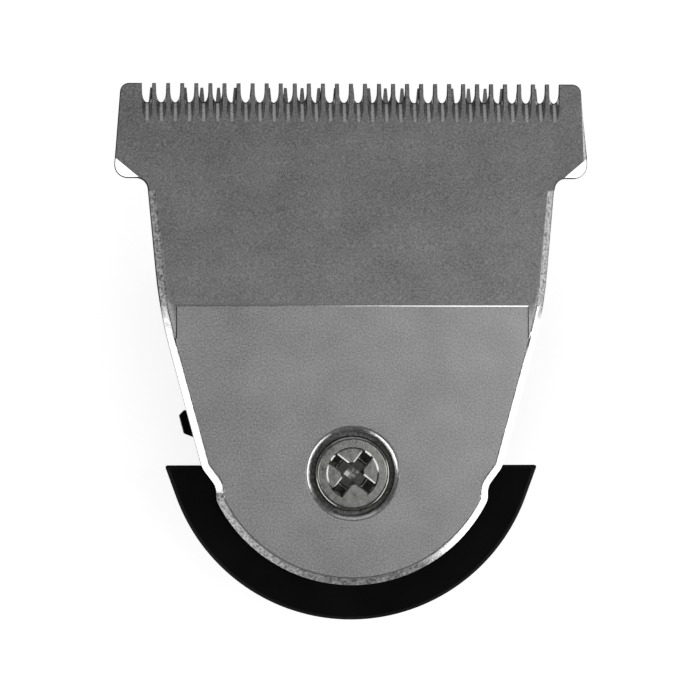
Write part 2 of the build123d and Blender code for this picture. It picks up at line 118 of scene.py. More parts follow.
# %% Finish of the comb
def ground_steel():
    finish, tree, shader, place = new_finish("stainless_steel_ground_and_blasted")
    grit = add(tree, "ShaderNodeTexNoise", {
        "Vector": place, "Scale": per_grain(0.11), "Detail": 2.0, "Roughness": 0.6})
    clouds = add(tree, "ShaderNodeTexNoise", {
        "Vector": place, "Scale": per_grain(3.2), "Detail": 2.0, "Roughness": 0.5})
    tone = add(tree, "ShaderNodeMath", {0: clouds.outputs["Fac"], 1: 0.25, 2: grit.outputs["Fac"]},
               operation="MULTIPLY_ADD")
    colour = add(tree, "ShaderNodeValToRGB", {"Fac": tone.outputs[0]})
    colour.color_ramp.elements[0].position = 0.40
    colour.color_ramp.elements[0].color = linear("#929292")
    colour.color_ramp.elements[1].position = 0.86
    colour.color_ramp.elements[1].color = linear("#D8D8D8")
    gloss = add(tree, "ShaderNodeMapRange", {
        "Value": grit.outputs["Fac"], "From Min": 0.3, "From Max": 0.7, "To Min": 0.28, "To Max": 0.38})
    pits = add(tree, "ShaderNodeBump", {
        "Height": grit.outputs["Fac"], "Strength": 0.35, "Distance": 0.006 * MM})
    tree.links.new(colour.outputs["Color"], shader.inputs["Base Color"])
    tree.links.new(gloss.outputs["Result"], shader.inputs["Roughness"])
    tree.links.new(pits.outputs["Normal"], shader.inputs["Normal"])
    shader.inputs["Metallic"].default_value = 1.0
    return finish


comb_steel = ground_steel()
print("made", comb_steel.name)

# %% [markdown]
# ## Steel of the rim, the tail and the ridge, painted lighter and darker
# The rim is a lighter, glossier copy of the ground steel: a painted highlight on the rolled rim, with slow
# waves in its bump so that the highlight breaks up. Round the tail, beside the neck and in the dish round
# the screw a darker, rougher, speckled copy is painted shade, so the rim reads grey there. The ridge and
# the tail's inner edge get a bright, smooth copy: a painted highlight on their rounding. One function makes
# the three from the size of their grain, their greys, their gloss and the height of their waves.

# %% Finishes of the rim, the tail band and the ridge
def steel_with_painted_light(name, grain, dark, light, smooth, rough, wave_height):
    finish, tree, shader, place = new_finish(name)
    rub = add(tree, "ShaderNodeTexNoise", {
        "Vector": place, "Scale": per_grain(grain), "Detail": 3.0, "Roughness": 0.6})
    colour = add(tree, "ShaderNodeValToRGB", {"Fac": rub.outputs["Fac"]})
    colour.color_ramp.elements[0].position = 0.3
    colour.color_ramp.elements[0].color = linear(dark)
    colour.color_ramp.elements[1].position = 0.7
    colour.color_ramp.elements[1].color = linear(light)
    gloss = add(tree, "ShaderNodeMapRange", {
        "Value": rub.outputs["Fac"], "From Min": 0.3, "From Max": 0.7, "To Min": smooth, "To Max": rough})
    waves = add(tree, "ShaderNodeBump", {
        "Height": rub.outputs["Fac"], "Strength": 0.5, "Distance": wave_height * MM})
    tree.links.new(colour.outputs["Color"], shader.inputs["Base Color"])
    tree.links.new(gloss.outputs["Result"], shader.inputs["Roughness"])
    tree.links.new(waves.outputs["Normal"], shader.inputs["Normal"])
    shader.inputs["Metallic"].default_value = 1.0
    return finish


# Painted highlight on the rim and the ridge, painted shade on the tail band: lighter and darker copies of
# one steel
rim_steel_highlight = steel_with_painted_light("stainless_steel_rim_painted_highlight", 0.35, "#B4B4B4", "#DEDEDE", 0.20, 0.32, 0.03)
tail_steel_shade = steel_with_painted_light("stainless_steel_tail_painted_shade", 0.20, "#484848", "#D4D4D4", 0.40, 0.60, 0.08)
ridge_steel_highlight = steel_with_painted_light("stainless_steel_ridge_painted_highlight", 0.35, "#CECECE", "#E6E6E6", 0.10, 0.16, 0.004)
print("made", rim_steel_highlight.name, tail_steel_shade.name, ridge_steel_highlight.name)

# %% [markdown]
# ## Blanked and sawn walls of the comb, painted dark
# The outline is blanked by a press and the slots are cut after hardening with a thin wheel; only the front
# is dressed afterwards. The walls, the slots and the steep faces round the screw are painted dark: this is
# painted shade, and it gives each tooth a dark outline. The edge tint is dark as well, a painted shade that
# takes away the bright reflection that bare metal shows where the eye glances along it. Towards the tail
# the painted shade fades and the wall is a lighter grey with a white edge tint. The marks of the wheel are
# too fine to show and are drawn as coarse as the walls need.

# %% Finishes of the slots and the walls
def steel_painted_dark(name, shade_fades_at_tail):
    finish, tree, shader, place = new_finish(name)
    marks = add(tree, "ShaderNodeTexNoise", {
        "Vector": place, "Scale": per_grain(0.08), "Detail": 2.0, "Roughness": 0.6})
    colour = add(tree, "ShaderNodeValToRGB", {"Fac": marks.outputs["Fac"]})
    colour.color_ramp.elements[0].position = 0.3
    colour.color_ramp.elements[0].color = linear("#303030")
    colour.color_ramp.elements[1].position = 0.7
    colour.color_ramp.elements[1].color = linear("#5C5C5C")
    gloss = add(tree, "ShaderNodeMapRange", {
        "Value": marks.outputs["Fac"], "From Min": 0.3, "From Max": 0.7, "To Min": 0.42, "To Max": 0.58})
    tree.links.new(colour.outputs["Color"], shader.inputs["Base Color"])
    tree.links.new(gloss.outputs["Result"], shader.inputs["Roughness"])
    shader.inputs["Metallic"].default_value = 1.0
    # A dark edge tint: painted shade in place of the glancing reflection
    shader.inputs["Specular Tint"].default_value = linear("#585858")
    # Towards the tail the painted shade fades to a lighter grey and a white edge tint
    if shade_fades_at_tail:
        # Mix has one set of sockets for each kind of value; its colours are inputs 6 and 7 and output 2
        spot = add(tree, "ShaderNodeSeparateXYZ", {"Vector": place})
        fade_to_tail = add(tree, "ShaderNodeMapRange", {
            "Value": spot.outputs["Y"], "From Min": 5.0 * MM, "From Max": -3.0 * MM})
        skin = add(tree, "ShaderNodeMix", {
            0: fade_to_tail.outputs["Result"], 6: colour.outputs["Color"], 7: linear("#A8A8A8")}, data_type="RGBA")
        edge = add(tree, "ShaderNodeMix", {
            0: fade_to_tail.outputs["Result"], 6: linear("#585858"), 7: linear("#FFFFFF")}, data_type="RGBA")
        tree.links.new(skin.outputs[2], shader.inputs["Base Color"])
        tree.links.new(edge.outputs[2], shader.inputs["Specular Tint"])
    return finish


slot_steel_shade = steel_painted_dark("stainless_steel_slots_painted_shade", False)
wall_steel_shade = steel_painted_dark("stainless_steel_walls_painted_shade", True)
print("made", slot_steel_shade.name, wall_steel_shade.name)

# %% [markdown]
# ## Ground carbon steel of the cutter
# The cutter is ground along its stroke and left as ground, and shows fine lines along X. Its greys are set
# darker than the comb's: painted shade, for the shade it lies in behind the comb. The lines are noise
# stretched along the stroke by a Mapping node.

# %% Finish of the cutter
def lapped_steel_shaded():
    finish, tree, shader, place = new_finish("carbon_steel_ground_with_painted_shade")
    along = add(tree, "ShaderNodeMapping", {"Vector": place, "Scale": (0.04, 1.0, 1.0)})
    lines = add(tree, "ShaderNodeTexNoise", {
        "Vector": along.outputs["Vector"], "Scale": per_grain(0.10), "Detail": 3.0, "Roughness": 0.6})
    # These darker greys are painted shade
    colour = add(tree, "ShaderNodeValToRGB", {"Fac": lines.outputs["Fac"]})
    colour.color_ramp.elements[0].position = 0.3
    colour.color_ramp.elements[0].color = linear("#6C6C6C")
    colour.color_ramp.elements[1].position = 0.7
    colour.color_ramp.elements[1].color = linear("#929292")
    gloss = add(tree, "ShaderNodeMapRange", {
        "Value": lines.outputs["Fac"], "From Min": 0.3, "From Max": 0.7, "To Min": 0.24, "To Max": 0.36})
    scratches = add(tree, "ShaderNodeBump", {
        "Height": lines.outputs["Fac"], "Strength": 0.3, "Distance": 0.004 * MM})
    tree.links.new(colour.outputs["Color"], shader.inputs["Base Color"])
    tree.links.new(gloss.outputs["Result"], shader.inputs["Roughness"])
    tree.links.new(scratches.outputs["Normal"], shader.inputs["Normal"])
    shader.inputs["Metallic"].default_value = 1.0
    return finish


cutter_steel_shaded = lapped_steel_shaded()
print("made", cutter_steel_shaded.name)

# %% [markdown]
# ## Nickel-plated steel of the screw
# A cold-headed screw is plated bright. Plating follows the small waves that the heading die leaves, so
# its gloss is high but a little uneven: broad soft waves in the bump and small changes of roughness.

# %% Finish of the screw
def nickel_plate():
    finish, tree, shader, place = new_finish("steel_headed_and_nickel_plated")
    waves = add(tree, "ShaderNodeTexNoise", {
        "Vector": place, "Scale": per_grain(0.45), "Detail": 3.0, "Roughness": 0.55})
    colour = add(tree, "ShaderNodeValToRGB", {"Fac": waves.outputs["Fac"]})
    colour.color_ramp.elements[0].position = 0.3
    colour.color_ramp.elements[0].color = linear("#8A8A87")
    colour.color_ramp.elements[1].position = 0.7
    colour.color_ramp.elements[1].color = linear("#A6A6A3")
    gloss = add(tree, "ShaderNodeMapRange", {
        "Value": waves.outputs["Fac"], "From Min": 0.3, "From Max": 0.7, "To Min": 0.14, "To Max": 0.24})
    dents = add(tree, "ShaderNodeBump", {
        "Height": waves.outputs["Fac"], "Strength": 0.3, "Distance": 0.012 * MM})
    tree.links.new(colour.outputs["Color"], shader.inputs["Base Color"])
    tree.links.new(gloss.outputs["Result"], shader.inputs["Roughness"])
    tree.links.new(dents.outputs["Normal"], shader.inputs["Normal"])
    shader.inputs["Metallic"].default_value = 1.0
    return finish


screw_plating = nickel_plate()
print("made", screw_plating.name)

# %% [markdown]
# ## Drawn spring wire
# Hard-drawn stainless wire keeps faint lines of the die along its length. The lines follow the wire round
# its coils, so they can't come from Object coordinates: the sweep below writes a turn and a length onto
# each point of the wire, and the noise reads those.

# %% Finish of the spring
def drawn_wire():
    finish, tree, shader, place = new_finish("stainless_wire_hard_drawn")
    route = add(tree, "ShaderNodeAttribute", attribute_name="wire_route")
    lines = add(tree, "ShaderNodeTexNoise", {
        "Vector": route.outputs["Vector"], "Scale": 1.0, "Detail": 3.0, "Roughness": 0.6})
    colour = add(tree, "ShaderNodeValToRGB", {"Fac": lines.outputs["Fac"]})
    colour.color_ramp.elements[0].position = 0.3
    colour.color_ramp.elements[0].color = linear("#949493")
    colour.color_ramp.elements[1].position = 0.7
    colour.color_ramp.elements[1].color = linear("#C4C4C2")
    gloss = add(tree, "ShaderNodeMapRange", {
        "Value": lines.outputs["Fac"], "From Min": 0.3, "From Max": 0.7, "To Min": 0.20, "To Max": 0.32})
    tree.links.new(colour.outputs["Color"], shader.inputs["Base Color"])
    tree.links.new(gloss.outputs["Result"], shader.inputs["Roughness"])
    tree.nodes.remove(place.node)
    shader.inputs["Metallic"].default_value = 1.0
    return finish


wire_steel = drawn_wire()
print("made", wire_steel.name)

# %% [markdown]
# ## Black nylon of the carrier
# The carrier is injection-moulded in black glass-filled nylon. The mould is spark-eroded, which gives the
# skin a fine even grain and takes off its shine, so it stays deep black under soft light.

# %% Finish of the carrier
def moulded_nylon():
    finish, tree, shader, place = new_finish("nylon_black_moulded_spark_grain")
    grain = add(tree, "ShaderNodeTexNoise", {
        "Vector": place, "Scale": per_grain(0.14), "Detail": 2.0, "Roughness": 0.6})
    flow = add(tree, "ShaderNodeTexNoise", {
        "Vector": place, "Scale": per_grain(4.0), "Detail": 2.0, "Roughness": 0.5})
    colour = add(tree, "ShaderNodeValToRGB", {"Fac": flow.outputs["Fac"]})
    colour.color_ramp.elements[0].position = 0.3
    colour.color_ramp.elements[0].color = linear("#0A0A0B")
    colour.color_ramp.elements[1].position = 0.7
    colour.color_ramp.elements[1].color = linear("#121213")
    gloss = add(tree, "ShaderNodeMapRange", {
        "Value": grain.outputs["Fac"], "From Min": 0.3, "From Max": 0.7, "To Min": 0.48, "To Max": 0.66})
    texture = add(tree, "ShaderNodeBump", {
        "Height": grain.outputs["Fac"], "Strength": 0.5, "Distance": 0.012 * MM})
    tree.links.new(colour.outputs["Color"], shader.inputs["Base Color"])
    tree.links.new(gloss.outputs["Result"], shader.inputs["Roughness"])
    tree.links.new(texture.outputs["Normal"], shader.inputs["Normal"])
    shader.inputs["IOR"].default_value = 1.53
    shader.inputs["Specular IOR Level"].default_value = 0.06
    return finish


carrier_nylon = moulded_nylon()
print("made", carrier_nylon.name)

# %% [markdown]
# ## White acetal of the drive bridge
# The bridge slides and is driven at high speed, so it is acetal: milky white, slick and slightly waxy.
# A little subsurface light gives the milkiness, and faint flow marks keep it from looking like paint.

# %% Finish of the drive bridge
def moulded_acetal():
    finish, tree, shader, place = new_finish("acetal_white_moulded_satin")
    flow = add(tree, "ShaderNodeTexNoise", {
        "Vector": place, "Scale": per_grain(2.5), "Detail": 3.0, "Roughness": 0.55})
    skin = add(tree, "ShaderNodeTexNoise", {
        "Vector": place, "Scale": per_grain(0.20), "Detail": 2.0, "Roughness": 0.5})
    colour = add(tree, "ShaderNodeValToRGB", {"Fac": flow.outputs["Fac"]})
    colour.color_ramp.elements[0].position = 0.3
    colour.color_ramp.elements[0].color = linear("#D8D6CE")
    colour.color_ramp.elements[1].position = 0.7
    colour.color_ramp.elements[1].color = linear("#E6E4DD")
    gloss = add(tree, "ShaderNodeMapRange", {
        "Value": skin.outputs["Fac"], "From Min": 0.3, "From Max": 0.7, "To Min": 0.34, "To Max": 0.46})
    texture = add(tree, "ShaderNodeBump", {
        "Height": skin.outputs["Fac"], "Strength": 0.2, "Distance": 0.006 * MM})
    tree.links.new(colour.outputs["Color"], shader.inputs["Base Color"])
    tree.links.new(gloss.outputs["Result"], shader.inputs["Roughness"])
    tree.links.new(texture.outputs["Normal"], shader.inputs["Normal"])
    shader.inputs["IOR"].default_value = 1.48
    shader.inputs["Subsurface Weight"].default_value = 0.15
    shader.inputs["Subsurface Scale"].default_value = 0.4 * MM
    return finish


bridge_acetal = moulded_acetal()
print("made", bridge_acetal.name)

# %% [markdown]
# ## Soft edges
# A drawn edge is a line with no width, and it never catches the light. Tumbled steel and moulded plastic
# have edges a few hundredths of a millimetre round. Each CAD mesh is copied, its loose triangles are
# welded and joined into whole faces, and a Bevel rounds its sharp edges. Weighted normals keep the flat
# faces flat. The copy then stands for its CAD node.

# %% Helpers for softened copies
def cad_copy(node):
    """A welded copy of a CAD node's mesh, with flat triangles joined into whole faces."""
    work = bmesh.new()
    work.from_mesh(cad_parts[node].data)
    bmesh.ops.remove_doubles(work, verts=work.verts, dist=0.001 * MM)
    bmesh.ops.dissolve_limit(work, angle_limit=radians(0.4), verts=work.verts, edges=work.edges)
    work.edges.layers.float.new("bevel_weight_edge")
    return work


def sharp_edges(work, angle):
    """The edges at which two faces meet at more than this angle, in degrees."""
    return [edge for edge in work.edges if edge.is_manifold and edge.calc_face_angle() > radians(angle)]


def true_arcs(work, centre, smallest, cuts=3):
    """Splits the chords of arcs wider than a smallest radius, and moves the new points onto the arcs."""
    reach = work.verts.layers.float.new("arc_reach")
    hair = 0.002 * MM
    chords = []
    for edge in work.edges:
        start, end = (vert.co.xy - centre for vert in edge.verts)
        level = abs(edge.verts[0].co.z - edge.verts[1].co.z) < hair and start.length > smallest
        if level and abs(start.length - end.length) < hair and 0.01 < start.angle(end) < radians(20):
            chords.append(edge)
            for vert in edge.verts:
                vert[reach] = (vert.co.xy - centre).length
    made = bmesh.ops.subdivide_edges(work, edges=chords, cuts=cuts, use_grid_fill=True)
    for vert in made["geom_inner"]:
        if isinstance(vert, bmesh.types.BMVert) and vert[reach] > 0:
            vert.co.xy = centre + (vert.co.xy - centre).normalized() * vert[reach]
    work.verts.layers.float.remove(reach)
    return work


def plain_mesh(piece, finishes):
    """Turns what a piece's modifiers show into its own mesh, and gives it its finishes."""
    graph = bpy.context.evaluated_depsgraph_get()
    shown = piece.evaluated_get(graph)
    piece.data = bpy.data.meshes.new_from_object(shown, preserve_all_data_layers=True, depsgraph=graph)
    piece.modifiers.clear()
    for finish in finishes:
        piece.data.materials.append(finish)
    return piece


def softened(work, name, finishes, roundings, creases=(), segments=2):
    """A piece from a welded copy; roundings holds pairs of edges and the width, in mm, of their rounding.
    Edges that stay sharp, and shallow creases between flat faces, part the shading."""
    widest = max((width for edges, width in roundings), default=0.0)
    weight = work.edges.layers.float["bevel_weight_edge"]
    for edges, width in roundings:
        for edge in edges:
            edge[weight] = width / widest
    for face in work.faces:
        face.smooth = True
    for edge in list(creases) + [e for e in sharp_edges(work, 32) if e[weight] == 0]:
        edge.smooth = False
    mesh = bpy.data.meshes.new(name)
    work.to_mesh(mesh)
    work.free()
    piece = bpy.data.objects.new(name, mesh)
    scene.collection.objects.link(piece)
    if roundings:
        bevel = piece.modifiers.new("soft edges", "BEVEL")
        bevel.limit_method = "WEIGHT"
        bevel.width = widest * MM
        bevel.segments = segments
        bevel.use_clamp_overlap = False
    shading = piece.modifiers.new("flat faces stay flat", "WEIGHTED_NORMAL")
    shading.weight = 100
    shading.keep_sharp = True
    plain_mesh(piece, finishes)
    print(name, "has", len(piece.data.polygons), "faces")
    return piece


def stands_for(piece, node, body):
    """The piece takes the place of a CAD node and moves with its body."""
    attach(piece, body)
    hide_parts(node)


print("helpers ready")

# %% [markdown]
# ## Geometry Nodes
# What repeats or follows a path is made by Geometry Nodes: the screw's thread, the spring's wire and the
# marks of the ejector pins. Each tree is built here with named sizes, and what it makes is kept as a plain
# mesh, because instances are lost when a model is handed on.

# %% Helpers for Geometry Nodes
def geometry_tree(name, sizes):
    """A Geometry Nodes tree with a geometry in and out and named sizes, and the sockets of its inputs."""
    tree = bpy.data.node_groups.new(name, "GeometryNodeTree")
    tree.interface.new_socket("Geometry", in_out="INPUT", socket_type="NodeSocketGeometry")
    for size, kind in sizes.items():
        tree.interface.new_socket(size, in_out="INPUT", socket_type=kind)
    tree.interface.new_socket("Geometry", in_out="OUTPUT", socket_type="NodeSocketGeometry")
    return tree, tree.nodes.new("NodeGroupInput").outputs


def close_tree(tree, geometry, finish):
    """Ends a tree: instances made real, the finish set, and the result sent out."""
    real = add(tree, "GeometryNodeRealizeInstances", {"Geometry": geometry})
    grey_shaded = add(tree, "GeometryNodeSetMaterial", {"Geometry": real.outputs[0], "Material": finish})
    add(tree, "NodeGroupOutput", {0: grey_shaded.outputs[0]})


def run_tree(name, data, tree, sizes, finish):
    """Runs a tree on some curve or mesh data and keeps the result as a plain mesh."""
    source = bpy.data.objects.new(name + "_source", data)
    scene.collection.objects.link(source)
    modifier = source.modifiers.new(tree.name, "NODES")
    modifier.node_group = tree
    for socket in tree.interface.items_tree:
        if socket.in_out == "INPUT" and socket.name in sizes:
            modifier[socket.identifier] = sizes[socket.name]
    graph = bpy.context.evaluated_depsgraph_get()
    mesh = bpy.data.meshes.new_from_object(source.evaluated_get(graph), preserve_all_data_layers=True,
                                           depsgraph=graph)
    mesh.name = name
    bpy.data.objects.remove(source)
    mesh.materials.clear()
    mesh.materials.append(finish)
    piece = bpy.data.objects.new(name, mesh)
    scene.collection.objects.link(piece)
    print(name, "has", len(mesh.polygons), "faces")
    return piece


print("helpers ready")

# %% [markdown]
# ## The comb
# The fixed blade is the piece that the eye meets first. Its faces are sorted by their place and the way
# they lean, and most get painted light: walls, slots, the bottoms of the slots and the steep faces round
# the screw are painted dark, as painted shade; the rim is painted bright, as a painted highlight; the band
# round the tail, the rim beside the neck and the dish round the screw are painted grey, as painted shade.
# Its outline gets a narrow rounding painted dark, the rim's inner edge and the feet a soft one painted
# bright, the ridge a narrow land and the tail's inner edge a fine line, both painted bright, and the
# creases a fine line painted dark. The teeth stay crisp, or they wouldn't cut.

# %% Faces of the comb
low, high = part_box("fixed_blade")
tooth_depth = 2.9 * MM
tail_radius = 10.17 * MM
tail_height = 6.25 * MM
tail_right = 4.6 * MM
ridge_y = 3.1 * MM
neck_end = 10.5 * MM
# Height of the thin band at the bottoms of the slots that is painted dark, as painted shade
root_shade_line = 0.04 * MM
screw_low, screw_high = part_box("fixing_screw")
screw_centre = ((screw_low + screw_high) / 2).xy
screw_recess = 3.4 * MM
recess_depth = 0.3 * MM
wall_lean = 0.35
rim_lean = 0.5
floor_lean = 0.9
face_lean = 0.95
comb_finishes = [comb_steel, slot_steel_shade, rim_steel_highlight, tail_steel_shade, ridge_steel_highlight, wall_steel_shade]
GROUND, DARK_SHADE, RIM_HIGHLIGHT, GREY_SHADE, EDGE_HIGHLIGHT, WALL_SHADE = range(len(comb_finishes))


def among_teeth(place):
    """True for a place between the tips and the ends of the flutes."""
    return place.y > high.y - tooth_depth


def comb_finish(face):
    """Number of a face's finish, by its place and by how far it looks upwards; most finishes are painted
    light.
    """
    place = face.calc_center_median()
    in_recess = (place.xy - screw_centre).length < screw_recess
    # Steep faces get painted shade: dark in the slots and the recess, dark fading towards the tail on the
    # walls
    if abs(face.normal.z) < wall_lean:
        return DARK_SHADE if among_teeth(place) or in_recess else WALL_SHADE
    # A thin band at the bottoms of the slots gets the dark painted shade
    if among_teeth(place) and place.z < low.z + root_shade_line and face.normal.z > 0:
        return DARK_SHADE
    # The floor of the dish round the screw gets the grey painted shade
    if in_recess and place.z < high.z - recess_depth and face.normal.z > floor_lean:
        return GREY_SHADE
    if among_teeth(place) or not rim_lean < face.normal.z < face_lean:
        return GROUND
    # The band round the tail and the rim beside the neck get the grey painted shade; the rest of the rim
    # gets the painted highlight
    in_tail = place.y < low.y + tail_height and place.x < tail_right
    grey_shaded = in_tail or ridge_y < place.y < neck_end
    return GREY_SHADE if grey_shaded and not in_recess else RIM_HIGHLIGHT


comb_work = true_arcs(cad_copy("fixed_blade"), Vector((0.0, low.y + tail_radius)), tail_radius / 2)
# The flutes are cut just above the back, so that the thin band below takes the dark painted shade
flutes = [face for face in comb_work.faces
          if among_teeth(face.calc_center_median()) and face.normal.z > -floor_lean]
around = dict.fromkeys(part for face in flutes for part in (*face.edges, *face.verts))
bmesh.ops.bisect_plane(comb_work, geom=flutes + list(around), dist=0.0001 * MM,
                       plane_co=(0.0, 0.0, low.z + root_shade_line), plane_no=(0.0, 0.0, 1.0))
for face in comb_work.faces:
    face.material_index = comb_finish(face)
for number, finish in enumerate(comb_finishes):
    print(sum(face.material_index == number for face in comb_work.faces), "faces of", finish.name)

# %% Edges of the comb
land_start = 14.4 * MM
dark_outline_width = 0.06 * MM
foot_start = 13.4 * MM
foot_roll = 0.15 * MM
side_start = 15.3 * MM
side_roll = 0.24 * MM
ridge_width = 0.07 * MM
ridge_length = 12.0 * MM
crease_shade_width = 0.04 * MM
crease_length = 2.0 * MM
tail_highlight_width = 0.06 * MM
flat_lean = 0.98
neck_side = 11.0 * MM
step_side = 13.9 * MM
step_end = 9.0 * MM
step_lean = -0.7


def middle(edge):
    """The middle of an edge."""
    return (edge.verts[0].co + edge.verts[1].co) / 2


def leans(edge):
    """How far the two faces of an edge look upwards, the steeper one first."""
    return sorted(face.normal.z for face in edge.link_faces)


def rounded(edges, width, steps, finish, clamp=False):
    """Rounds edges of the comb and gives the rounding a finish."""
    bmesh.ops.bevel(comb_work, geom=edges, offset=width, offset_type="OFFSET", segments=steps, profile=0.5,
                    affect="EDGES", clamp_overlap=clamp, material=finish)
    print("rounded", len(edges), "edges")


def at_wall(edge):
    """True where a face of the front or the rim ends at a wall of the neck or the shoulders."""
    place = middle(edge)
    on_outline = place.y > ridge_y and (abs(place.x) > land_start or not among_teeth(place))
    in_step = abs(place.x) < step_side and min(face.normal.y for face in edge.link_faces) < step_lean
    clear = (place.xy - screw_centre).length > screw_recess and not (in_step and place.y > step_end)
    return on_outline and clear and abs(leans(edge)[0]) < wall_lean and leans(edge)[1] > rim_lean


# The roundings carry painted light: the ridge a painted highlight, the creases a dark line of painted
# shade, the feet and the sides of the T the rim's painted highlight, the outline a dark band of painted
# shade and the tail's inner edge a painted highlight
rounded([e for e in sharp_edges(comb_work, 2) if leans(e)[0] > flat_lean
         and e.calc_length() > ridge_length], ridge_width, 2, EDGE_HIGHLIGHT)
rounded([e for e in sharp_edges(comb_work, 2) if leans(e)[0] > flat_lean and abs(middle(e).x) > neck_side
         and crease_length < e.calc_length() < ridge_length], crease_shade_width, 1, DARK_SHADE)
rounded([e for e in sharp_edges(comb_work, 25) if leans(e)[0] > rim_lean and abs(middle(e).x) > foot_start],
        foot_roll, 3, RIM_HIGHLIGHT, True)
rounded([e for e in sharp_edges(comb_work, 60) if at_wall(e) and middle(e).x > side_start
         and e.calc_length() > crease_length], side_roll, 1, RIM_HIGHLIGHT)
rounded([e for e in sharp_edges(comb_work, 30) if at_wall(e)], dark_outline_width, 2, DARK_SHADE)
rounded([e for e in sharp_edges(comb_work, 30) if leans(e)[0] > rim_lean and leans(e)[1] > flat_lean
         and middle(e).y < low.y + tail_height and (middle(e).xy - screw_centre).length > screw_recess],
        tail_highlight_width, 1, EDGE_HIGHLIGHT)

# %% Comb
rim_roll = 0.12
front_area = 50 * MM * MM
rim_edges = [e for e in sharp_edges(comb_work, 30) if leans(e)[0] > rim_lean and not among_teeth(middle(e))
             and abs(middle(e).x) < side_start]
creases = [e for e in sharp_edges(comb_work, 2) if leans(e)[0] > flat_lean
           and min(face.calc_area() for face in e.link_faces) > MM * MM]
flute_edges = [e for e in sharp_edges(comb_work, 3) if among_teeth(middle(e))
               and max(face.calc_area() for face in e.link_faces) > front_area]
print(len(rim_edges), "rim edges,", len(creases), "creases,", len(flute_edges), "edges of flutes")
comb = softened(comb_work, "comb_blade", comb_finishes, [(rim_edges, rim_roll)], creases + flute_edges, 3)
stands_for(comb, "fixed_blade", "blade_set")

# %% [markdown]
# ## The cutter
# The moving blade sits behind the comb, off the middle of its stroke, so its teeth show in the slots of
# the comb at another pitch.

# %% Cutter
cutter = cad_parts["moving_blade"]
cutter.material_slots[0].material = cutter_steel_shaded
print("cutter keeps its CAD mesh of", len(cutter.data.polygons), "faces")

# %% [markdown]
# ## The screw
# A pan-head screw with a cross recess in a shallow dish. Its head is round from the die and needs no more
# rounding. The punch breaks the long edges of the recess: each gets a flat chamfer that leans at about 40
# degrees, and the dish's wall is eased to the same lean, because a face that leans so mirrors the low
# softboxes. The CAD model has a plain shank in place of a thread; the copy's shank is drawn in to the
# thread's root.

# %% Shank and dish of the screw
shank_radius = 1.3 * MM
thread_root = 1.08 * MM
dish_inner = 1.6 * MM
dish_outer = 1.77 * MM
dish_ease = 0.02 * MM
wing_reach = 1.75 * MM
wing_length = 0.45 * MM
recess_level = 0.2 * MM
hair = 0.003 * MM


def from_axis(vert):
    """The way from the screw's axis to a point."""
    return vert.co.xy - screw_centre


work = cad_copy("fixing_screw")
for vert in work.verts:
    if abs(from_axis(vert).length - shank_radius) < 0.01 * MM:
        vert.co.xy = screw_centre + from_axis(vert).normalized() * thread_root
wing_edges = [e for e in sharp_edges(work, 50) if e.calc_length() > wing_length
              and max(from_axis(vert).length for vert in e.verts) < wing_reach
              and abs(e.verts[0].co.z - e.verts[1].co.z) < 0.01 * MM
              and e.verts[0].co.z > screw_high.z - recess_level]
recess_top = wing_edges[0].verts[0].co.z
dish_foot = [vert for vert in work.verts if abs(vert.co.z - recess_top) < hair
             and dish_inner < from_axis(vert).length < dish_outer]
for vert in dish_foot:
    vert.co.xy = screw_centre + from_axis(vert).normalized() * (from_axis(vert).length - dish_ease)
print("dish eased at", len(dish_foot), "points")

# %% Edges of the cross recess
wing_turn = radians(52.0)
wing_half = 0.37 * MM
wing_break = 0.09 * MM
wing_fall = 0.075 * MM
wing_area = 0.05 * MM * MM
broken = bmesh.ops.bevel(work, geom=wing_edges, offset=wing_break, offset_type="OFFSET", segments=1,
                         profile=0.5, affect="EDGES", clamp_overlap=False)
for face in broken["faces"]:
    for vert in face.verts:
        across = min(abs(way) for way in Matrix.Rotation(-wing_turn, 2) @ from_axis(vert))
        if face.calc_area() > wing_area and across < wing_half + wing_break / 2:
            vert.co.z = recess_top - wing_fall
print("broken", len(wing_edges), "edges of the recess")

# %% Screw
recess_lines = {edge for face in broken["faces"] for edge in face.edges}
recess_lines.update(edge for edge in sharp_edges(work, 10)
                    if all(abs(vert.co.z - recess_top) < hair for vert in edge.verts))
screw = softened(work, "fixing_screw_plated", [screw_plating], [], recess_lines)
stands_for(screw, "fixing_screw", "blade_set")

# %% [markdown]
# ## The screw's thread
# The thread is one ridge wound round the shank. Spiral gives its line, and Curve to Mesh carries a small
# three-sided section along it.

# %% Thread
thread_pitch = 1.0
thread_turns = 4.0
thread_depth = 0.2
thread_rise = 1.3 * MM
thread_steps = 24
thread_start = Vector((*screw_centre, screw_low.z + thread_rise))
thread_tree, sizes_in = geometry_tree("screw_thread", {
    "Radius": "NodeSocketFloat", "Depth": "NodeSocketFloat", "Turns": "NodeSocketFloat",
    "Height": "NodeSocketFloat", "Start": "NodeSocketVector"})
helix = add(thread_tree, "GeometryNodeCurveSpiral", {
    "Resolution": thread_steps, "Rotations": sizes_in["Turns"], "Start Radius": sizes_in["Radius"],
    "End Radius": sizes_in["Radius"], "Height": sizes_in["Height"]})
upright = add(thread_tree, "GeometryNodeSetCurveNormal", {"Curve": helix.outputs["Curve"]}, mode="Z_UP")
section = add(thread_tree, "GeometryNodeCurvePrimitiveCircle", {
    "Resolution": 3, "Radius": sizes_in["Depth"]})
turned = add(thread_tree, "GeometryNodeTransform", {
    "Geometry": section.outputs["Curve"], "Rotation": (0.0, 0.0, pi)})
ridge = add(thread_tree, "GeometryNodeCurveToMesh", {
    "Curve": upright.outputs["Curve"], "Profile Curve": turned.outputs["Geometry"], "Fill Caps": True})
placed = add(thread_tree, "GeometryNodeTransform", {
    "Geometry": ridge.outputs["Mesh"], "Translation": sizes_in["Start"]})
close_tree(thread_tree, placed.outputs["Geometry"], screw_plating)
